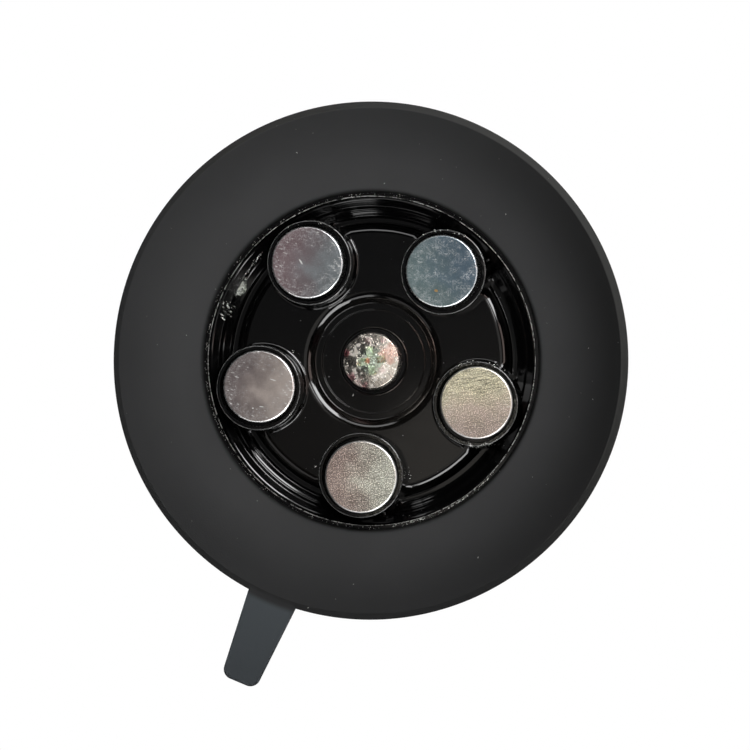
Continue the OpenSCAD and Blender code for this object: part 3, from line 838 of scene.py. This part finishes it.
class MOUNT_OT_fasteners(bpy.types.Operator):
    """Makes the sealing washer under the head, and the washers and nut on the top side"""
    bl_idname = "mount.fasteners"
    bl_label = "Fasteners"

    def execute(self, context):
        zinc = bpy.data.materials["bright_zinc"]
        for node in ("flat_washer", "spring_washer", "hex_nut"):
            piece = soften(from_bmesh(node + "_plated", merged_copy(node)), 25, 0.15 * MM)
            dress(piece, zinc, "zinc_plating", node)
        seal = soften(from_bmesh("seal_ring", merged_copy("seal_washer")), 30, 0.2 * MM)
        dress(seal, seal_rubber(), "seal_rubber", "seal_washer")
        return {"FINISHED"}


def crumb_shape(name, size, seed):
    """Geometry tree that turns each point into a crumb of its own shape and turn."""
    t = Shape(name)
    radius = t.size("Crumb Size", size)
    pick = t.size("Seed", seed, "NodeSocketInt")
    ball = t.add("GeometryNodeMeshIcoSphere", None, {"Radius": 1.0, "Subdivisions": 1})
    turn = t.add("FunctionNodeRandomValue", {"data_type": "FLOAT_VECTOR"}, {
        "Min": (0.0, 0.0, 0.0), "Max": (6.28, 6.28, 6.28), "Seed": pick})
    grow = t.add("FunctionNodeRandomValue", {"data_type": "FLOAT"}, {2: 0.35, 3: 1.0, "Seed": pick}, 1)
    flat = t.add("ShaderNodeCombineXYZ", None, {
        "X": radius * grow, "Y": radius * grow * 0.7, "Z": radius * grow * 0.5})
    spread = t.add("GeometryNodeInstanceOnPoints", None, {
        "Points": t.geometry(), "Instance": ball, "Rotation": turn, "Scale": flat})
    whole = t.add("GeometryNodeRealizeInstances", None, {"Geometry": spread})
    lump = t.add("ShaderNodeTexNoise", {"noise_dimensions": "3D"}, {
        "Vector": t.add("GeometryNodeInputPosition"), "Scale": 1400.0, "Detail": 2.0}, "Color")
    push = t.add("ShaderNodeVectorMath", {"operation": "SUBTRACT"}, {0: lump, 1: (0.5, 0.5, 0.5)})
    push = t.add("ShaderNodeVectorMath", {"operation": "SCALE"}, {0: push, "Scale": radius * 0.9})
    return t, t.add("GeometryNodeSetPosition", None, {"Geometry": whole, "Offset": push})


def fleck_shape(name, size, density, facing, seed):
    """Geometry tree that strews flat flecks over the downward faces of a mesh."""
    t = Shape(name)
    length = t.size("Fleck Size", size)
    thick = t.size("Density", density)
    pick = t.size("Seed", seed, "NodeSocketInt")
    normal = t.add("ShaderNodeSeparateXYZ", None, {"Vector": t.add("GeometryNodeInputNormal")}, "Z")
    points = t.add("GeometryNodeDistributePointsOnFaces", None, {
        "Mesh": t.geometry(), "Selection": normal.below(facing), "Density": thick, "Seed": pick})
    spin = t.add("FunctionNodeRandomValue", {"data_type": "FLOAT_VECTOR"}, {
        "Min": (0.0, 0.0, 0.0), "Max": (0.0, 0.0, 6.28), "Seed": pick})
    grow = t.add("FunctionNodeRandomValue", {"data_type": "FLOAT"}, {2: 0.0, 3: 1.0, "Seed": pick}, 1)
    grow = 0.25 + grow * grow * grow
    flake = t.add("GeometryNodeMeshIcoSphere", None, {"Radius": 1.0, "Subdivisions": 1})
    flat = t.add("ShaderNodeCombineXYZ", None, {
        "X": length * grow, "Y": length * grow * 0.35, "Z": length * 0.05})
    strewn = t.add("GeometryNodeInstanceOnPoints", None, {
        "Points": points, "Instance": flake, "Rotation": spin, "Scale": flat})
    return t, strewn


def housing_point(tree, radius, angle_deg):
    """Where a line up from the surface meets the housing's underside."""
    return tree.ray_cast(polar_point(radius, angle_deg, RAY_START_Z), UP)[0]


class MOUNT_OT_glue(bpy.types.Operator):
    """Makes the hardened glue: a dab on the stepped wall, and crumbs on it and on the cups' rims"""
    bl_idname = "mount.glue"
    bl_label = "Glue"

    # Crumbs on the wall: radius and angle of both ends of a strip, its width, count
    WALL_STRIPS = [
        (42.8, 3.0, 42.0, -6.0, 1.6, 14),
        (43.0, 8.0, 43.2, 23.0, 0.45, 46),
        (44.8, 0.0, 44.0, -7.0, 0.5, 8),
    ]
    # Wet streaks under the dab: radius, angle, length, width
    STREAKS = [
        (43.9, -0.4, 1.1, 0.22), (43.2, -1.7, 1.5, 0.26), (44.3, -2.6, 0.9, 0.18), (42.4, -3.2, 1.2, 0.30),
        (43.6, -3.9, 1.5, 0.22), (44.0, -5.2, 1.7, 0.24), (42.0, -4.9, 0.8, 0.34), (43.4, -6.4, 1.2, 0.22),
        (41.7, -0.9, 0.6, 0.26),
    ]
    # Crumbs round cups: magnet, direction from its cup's axis, half spread, distance from the axis, count
    RIM_SPOTS = [
        (2, 68.0, 34.0, 11.3, 20),
        (3, 68.0, 40.0, 11.4, 22),
        (3, 250.0, 30.0, 11.7, 10),
        (4, 158.0, 12.0, 12.6, 14),
        (5, 198.0, 12.0, 12.0, 8),
        (5, 113.0, 9.0, 13.2, 6),
        (1, 60.0, 30.0, 11.5, 8),
        (3, 250.0, 24.0, 11.9, 80),
    ]
    # Crumbs on the rim: as on the wall
    RIM_STRIPS = [
        (46.0, 200.0, 46.0, 240.0, 0.20, 190),
    ]
    # The dab: radius and angle of its centre and of its milky core, and its half sizes
    DAB_CENTRE = (43.2, 6.6)
    DAB_CORE = (42.8, 6.4)
    DAB_HALF = (2.6, 2.7, 1.2)

    def execute(self, context):
        settings = context.scene.mount_residue
        pick = random.Random(settings.seed)
        bm = merged_copy("magnet_housing")
        tree = BVHTree.FromBMesh(bm)
        bm.free()
        glue = set_glue()
        points = [housing_point(tree, r * MM, a) for r, a in self.strip_places(self.WALL_STRIPS, pick)]
        points += [tree.ray_cast(place, UP)[0] for place in self.rim_places(pick)]
        points += [housing_point(tree, r * MM, a) for r, a in self.strip_places(self.RIM_STRIPS, pick)]
        mesh = bpy.data.meshes.new("glue_crumbs")
        mesh.from_pydata(points, [], [])
        shape, geometry = crumb_shape("glue_crumbs", settings.crumb, settings.seed)
        crumbs = shape.piece(new_object("glue_crumbs", mesh), geometry, glue)
        crumbs.data.shade_smooth()
        dress(crumbs, glue, "black_gloss")
        dress(self.streaks(tree, pick), glue, "black_gloss")
        core = housing_point(tree, self.DAB_CORE[0] * MM, self.DAB_CORE[1])
        dress(self.dab(tree), glue_lens(core), "black_gloss")
        return {"FINISHED"}

    def streaks(self, tree, pick):
        """Short wet streaks of glue that run outwards on the wall."""
        bm = bmesh.new()
        for r, angle, length, width in self.STREAKS:
            middle = housing_point(tree, r * MM, angle)
            outer = housing_point(tree, (r + length / 2) * MM, angle + pick.uniform(0.3, 0.8))
            along = (outer - middle).normalized()
            side = along.cross(UP).normalized()
            turn = Matrix((along, side, along.cross(side))).transposed()
            made = bmesh.ops.create_icosphere(bm, subdivisions=3, radius=1.0)["verts"]
            for v in made:
                v.co = middle + turn @ Vector((v.co.x * length / 2, v.co.y * width, v.co.z * width)) * MM
        streaks = from_bmesh("glue_streaks", bm)
        streaks.data.shade_smooth()
        return streaks

    def strip_places(self, strips, pick):
        for r0, a0, r1, a1, width, count in strips:
            for _ in range(count):
                t = pick.random()
                yield r0 + (r1 - r0) * t + pick.gauss(0.0, width / 2), a0 + (a1 - a0) * t

    def rim_places(self, pick):
        for magnet, direction, spread, distance, count in self.RIM_SPOTS:
            low, high = (Vector(corner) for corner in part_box(MAGNETS[magnet - 1]))
            for _ in range(count):
                angle = direction + pick.uniform(-spread, spread)
                away = polar_point((distance + pick.gauss(0.0, 0.25)) * MM, angle)
                yield Vector(((low.x + high.x) / 2, (low.y + high.y) / 2, RAY_START_Z)) + away

    def dab(self, tree):
        """Lumpy dab of glue that lies on the wall's steps."""
        radius, angle = self.DAB_CENTRE
        centre = housing_point(tree, radius * MM, angle)
        half = Vector(self.DAB_HALF) * MM
        bm = bmesh.new()
        bmesh.ops.create_icosphere(bm, subdivisions=5, radius=1.0)
        outward = polar_point(1.0, angle)
        along = Vector((-outward.y, outward.x, 0.0))
        up = (-UP - outward * 0.6).normalized()
        across = along.cross(up)
        for v in bm.verts:
            lump = 1.0 + 0.22 * noise.noise(v.co * 2.3) + 0.06 * noise.noise(v.co * 6.1)
            x, y, z = v.co * lump
            v.co = centre + along * (x * half.x) + across * (y * half.y) + up * (z * half.z)
        dab = from_bmesh("glue_dab", bm)
        dab.data.shade_smooth()
        return dab


class MOUNT_OT_dust(bpy.types.Operator):
    """Strews flecks of dust and lint over the rubber and the housing"""
    bl_idname = "mount.dust"
    bl_label = "Dust"

    def execute(self, context):
        settings = context.scene.mount_residue
        dust = pale_dust()
        spread = [("ring_flecks", "rubber_cup", "ring_rubber", settings.flecks, -0.3),
                  ("housing_flecks", "magnet_housing", "black_gloss", settings.flecks * 1.6, -0.9)]
        for name, node, slot, density, facing in spread:
            ground = from_bmesh(name, merged_copy(node))
            shape, geometry = fleck_shape(name, settings.fleck, density, facing, settings.seed)
            dress(shape.piece(ground, geometry, dust), dust, slot)
        pick = random.Random(settings.seed)
        joint = bpy.data.meshes.new("rim_lint")
        joint.from_pydata([self.joint_point(settings, pick) for _ in range(settings.lint)], [], [])
        shape, geometry = crumb_shape("rim_lint", settings.fleck * 0.55, settings.seed)
        dress(shape.piece(new_object("rim_lint", joint), geometry, dust), dust, "black_gloss")
        return {"FINISHED"}

    def joint_point(self, settings, pick):
        """A place in the joint round the rim; lint gathers in three stretches of it."""
        middle = pick.choice((250.0, 60.0, 330.0, 330.0))
        radius = settings.joint_r + pick.gauss(0.0, 0.2) * MM
        return polar_point(radius, middle + pick.gauss(0.0, 34.0), settings.joint_z)


class MOUNT_OT_stage(bpy.types.Operator):
    """Makes the floor, the lamps, the world and the camera"""
    bl_idname = "mount.stage"
    bl_label = "Stage"

    # Strips that only gloss and metal mirror: name, direction in the picture, lean from the stud's axis,
    # distance, length round the axis, width, radiance, colour
    STRIPS = [
        ("strip_top", 92.0, 52.0, 0.60, 0.46, 0.18, 4.0, WHITE),
        ("strip_upper_right", 46.0, 56.0, 0.60, 0.36, 0.32, 17.0, WHITE),
        ("strip_streaks", 40.0, 24.0, 0.58, 0.12, 0.05, 12.0, WHITE),
        ("strip_right", 6.0, 56.0, 0.62, 0.26, 0.24, 2.6, (1.0, 0.80, 0.74)),
        ("strip_low_right", -57.0, 57.0, 0.60, 0.36, 0.26, 10.0, WHITE),
        ("strip_bottom", -90.0, 48.0, 0.60, 0.17, 0.20, 3.5, WHITE),
        ("strip_edge", -15.0, 82.0, 0.60, 0.52, 0.16, 2.0, WHITE),
        ("strip_edge_low", -66.0, 82.0, 0.60, 0.52, 0.16, 5.0, WHITE),
        ("strip_edge_left", -113.0, 82.0, 0.60, 0.42, 0.16, 3.0, WHITE),
        ("card_low_left", 225.0, 55.0, 0.60, 0.40, 0.22, 0.8, (1.0, 0.97, 0.95)),
        ("card_low", 222.0, 5.5, 0.45, 0.05, 0.05, 0.65, (1.0, 0.93, 0.84)),
        ("card_right", 0.0, 13.7, 0.62, 0.46, 0.32, 0.64, (1.0, 0.97, 0.93)),
    ]
    # Soft lamps that only matt surfaces take: the same columns
    SOFT_LAMPS = [
        ("soft_near", 100.0, 7.0, 0.133, 0.05, 0.05, 26.0, WHITE),
        ("soft_lip", 42.0, 79.0, 0.135, 0.13, 0.03, 4.0, WHITE),
    ]
    # Lamps over the mount: name, azimuth, elevation, distance, width, radiance
    LAMPS_ABOVE = [
        ("lamp_key", -50.0, 48.0, 0.9, 0.5, 7.6),
        ("lamp_fill", 70.0, 40.0, 0.9, 0.6, 3.1),
        ("lamp_back", 170.0, 50.0, 0.9, 0.5, 5.7),
    ]

    def execute(self, context):
        settings = context.scene.mount_stage
        scene = context.scene
        scene.view_settings.view_transform = "Standard"
        self.floor(settings)
        self.lamps(settings)
        self.world(scene, settings)
        self.camera(scene, settings)
        return {"FINISHED"}

    def floor(self, settings):
        bm = bmesh.new()
        bmesh.ops.create_grid(bm, x_segments=1, y_segments=1, size=3.0)
        bmesh.ops.translate(bm, verts=bm.verts, vec=(0.0, 0.0, -0.2 * MM))
        floor = from_bmesh("studio_floor", bm)
        floor.data.materials.append(pale_floor(settings))
        floor.visible_shadow = False
        floor.visible_diffuse = False
        floor.visible_glossy = False
        floor.visible_transmission = False

    def picture_axes(self, settings):
        turn = settings.photo_turn
        right = Vector((math.cos(turn), math.sin(turn), 0.0))
        up = Vector((math.sin(turn), -math.cos(turn), 0.0))
        return right, up

    def lamps(self, settings):
        right, up = self.picture_axes(settings)
        for name, angle, lean, distance, length, width, radiance, colour in self.STRIPS + self.SOFT_LAMPS:
            side = right * math.cos(math.radians(angle)) + up * math.sin(math.radians(angle))
            away = side * math.sin(math.radians(lean)) - UP * math.cos(math.radians(lean))
            lamp = self.lamp(name, away * distance, (length, width), radiance, colour)
            lamp.visible_diffuse = name.startswith("soft")
            lamp.visible_glossy = not lamp.visible_diffuse
        for name, azimuth, elevation, distance, width, radiance in self.LAMPS_ABOVE:
            place = polar_point(math.cos(math.radians(elevation)), azimuth, math.sin(math.radians(elevation)))
            self.lamp(name, place * distance, (width, width), radiance, WHITE)

    def lamp(self, name, place, size, radiance, colour):
        """Lamp that faces the origin, with its length level."""
        data = bpy.data.lights.new(name, "AREA")
        data.shape = "RECTANGLE"
        data.size, data.size_y = size
        data.energy = math.pi * size[0] * size[1] * radiance
        data.color = colour
        lamp = bpy.data.objects.new(name, data)
        back = place.normalized()
        along = UP.cross(back).normalized()
        turn = Matrix((along, back.cross(along), back)).transposed().to_4x4()
        lamp.matrix_world = Matrix.Translation(place) @ turn
        lamp.visible_camera = False
        bpy.context.collection.objects.link(lamp)
        return lamp

    def world(self, scene, settings):
        """White for the camera, even soft light, and for gloss a round card below and a bright room above."""
        scene.world = bpy.data.worlds.new("studio")
        scene.world.use_nodes = True
        g = Graph(scene.world.node_tree)
        g.tree.nodes.clear()
        camera = g.add("ShaderNodeLightPath", output="Is Camera Ray")
        mirrored = g.math("MAXIMUM", camera.other("Is Glossy Ray"), camera.other("Is Transmission Ray"))
        direction = g.add("ShaderNodeTexCoord", output="Generated")
        height = g.add("ShaderNodeSeparateXYZ", None, {"Vector": direction}, "Z")
        right, _ = self.picture_axes(settings)
        card = (right * math.tan(settings.room_lean) - UP).normalized()
        facing = g.add("ShaderNodeVectorMath", {"operation": "DOT_PRODUCT"}, {0: direction, 1: card}, "Value")
        below = g.smooth(facing, math.cos(settings.room_half + settings.room_edge / 2),
                         math.cos(settings.room_half - settings.room_edge / 2)) * settings.room
        horizon = g.smooth(height, -0.30, -0.05) * settings.horizon
        backdrop = below + horizon + g.smooth(height, 0.02, 0.3) * (1.0 - settings.horizon)
        level = camera + (1.0 - camera) * (mirrored * backdrop + (1.0 - mirrored) * settings.ambient)
        g.add("ShaderNodeOutputWorld", None, {
            "Surface": g.add("ShaderNodeBackground", None, {"Color": WHITE, "Strength": level})})

    def camera(self, scene, settings):
        right, up = self.picture_axes(settings)
        face_z = min(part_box(node)[0][2] for node in MAGNETS)
        aim = right * settings.aim_right - up * settings.aim_down + Vector((0, 0, face_z))
        lean = right * math.tan(settings.lean_right) - up * math.tan(settings.lean_down)
        away = (lean - UP).normalized()
        across = up.cross(away).normalized()
        data = bpy.data.cameras.new("photo_camera")
        data.sensor_width = 36.0
        data.lens = data.sensor_width * settings.distance / settings.view_w
        camera = bpy.data.objects.new("photo_camera", data)
        upright = away.cross(across)
        turn = Matrix((across, upright, away)).transposed().to_4x4()
        camera.matrix_world = Matrix.Translation(aim + away * settings.distance) @ turn
        bpy.context.collection.objects.link(camera)
        scene.camera = camera


class MOUNT_PT_panel(bpy.types.Panel):
    """Lists the pieces of the mount and their settings"""
    bl_idname = "MOUNT_PT_panel"
    bl_label = "Magnetic Mount"
    bl_space_type = "VIEW_3D"
    bl_region_type = "UI"
    bl_category = "Mount"

    def draw(self, context):
        for operator in OPERATORS:
            self.layout.operator(operator.bl_idname)
        for name in SETTINGS:
            group = getattr(context.scene, name)
            box = self.layout.box()
            for key in group.bl_rna.properties.keys():
                if key not in ("rna_type", "name"):
                    box.prop(group, key)


SETTINGS = {
    "mount_rubber": RubberSettings,
    "mount_housing": HousingSettings,
    "mount_metal": MetalSettings,
    "mount_residue": ResidueSettings,
    "mount_stage": StageSettings,
}
OPERATORS = [
    MOUNT_OT_stage,
    MOUNT_OT_rubber_cup,
    MOUNT_OT_housing,
    MOUNT_OT_magnets,
    MOUNT_OT_screw,
    MOUNT_OT_fasteners,
    MOUNT_OT_glue,
    MOUNT_OT_dust,
]


def register():
    for group in SETTINGS.values():
        bpy.utils.register_class(group)
    for name, group in SETTINGS.items():
        setattr(bpy.types.Scene, name, PointerProperty(type=group))
    for operator in OPERATORS:
        bpy.utils.register_class(operator)
    bpy.utils.register_class(MOUNT_PT_panel)


def unregister():
    bpy.utils.unregister_class(MOUNT_PT_panel)
    for operator in reversed(OPERATORS):
        bpy.utils.unregister_class(operator)
    for name, group in SETTINGS.items():
        delattr(bpy.types.Scene, name)
        bpy.utils.unregister_class(group)


def main():
    register()
    bpy.ops.mount.stage()
    bpy.ops.mount.rubber_cup()
    bpy.ops.mount.housing()
    bpy.ops.mount.magnets()
    bpy.ops.mount.screw()
    bpy.ops.mount.fasteners()
    bpy.ops.mount.glue()
    bpy.ops.mount.dust()


if __name__ == "__main__":
    main()
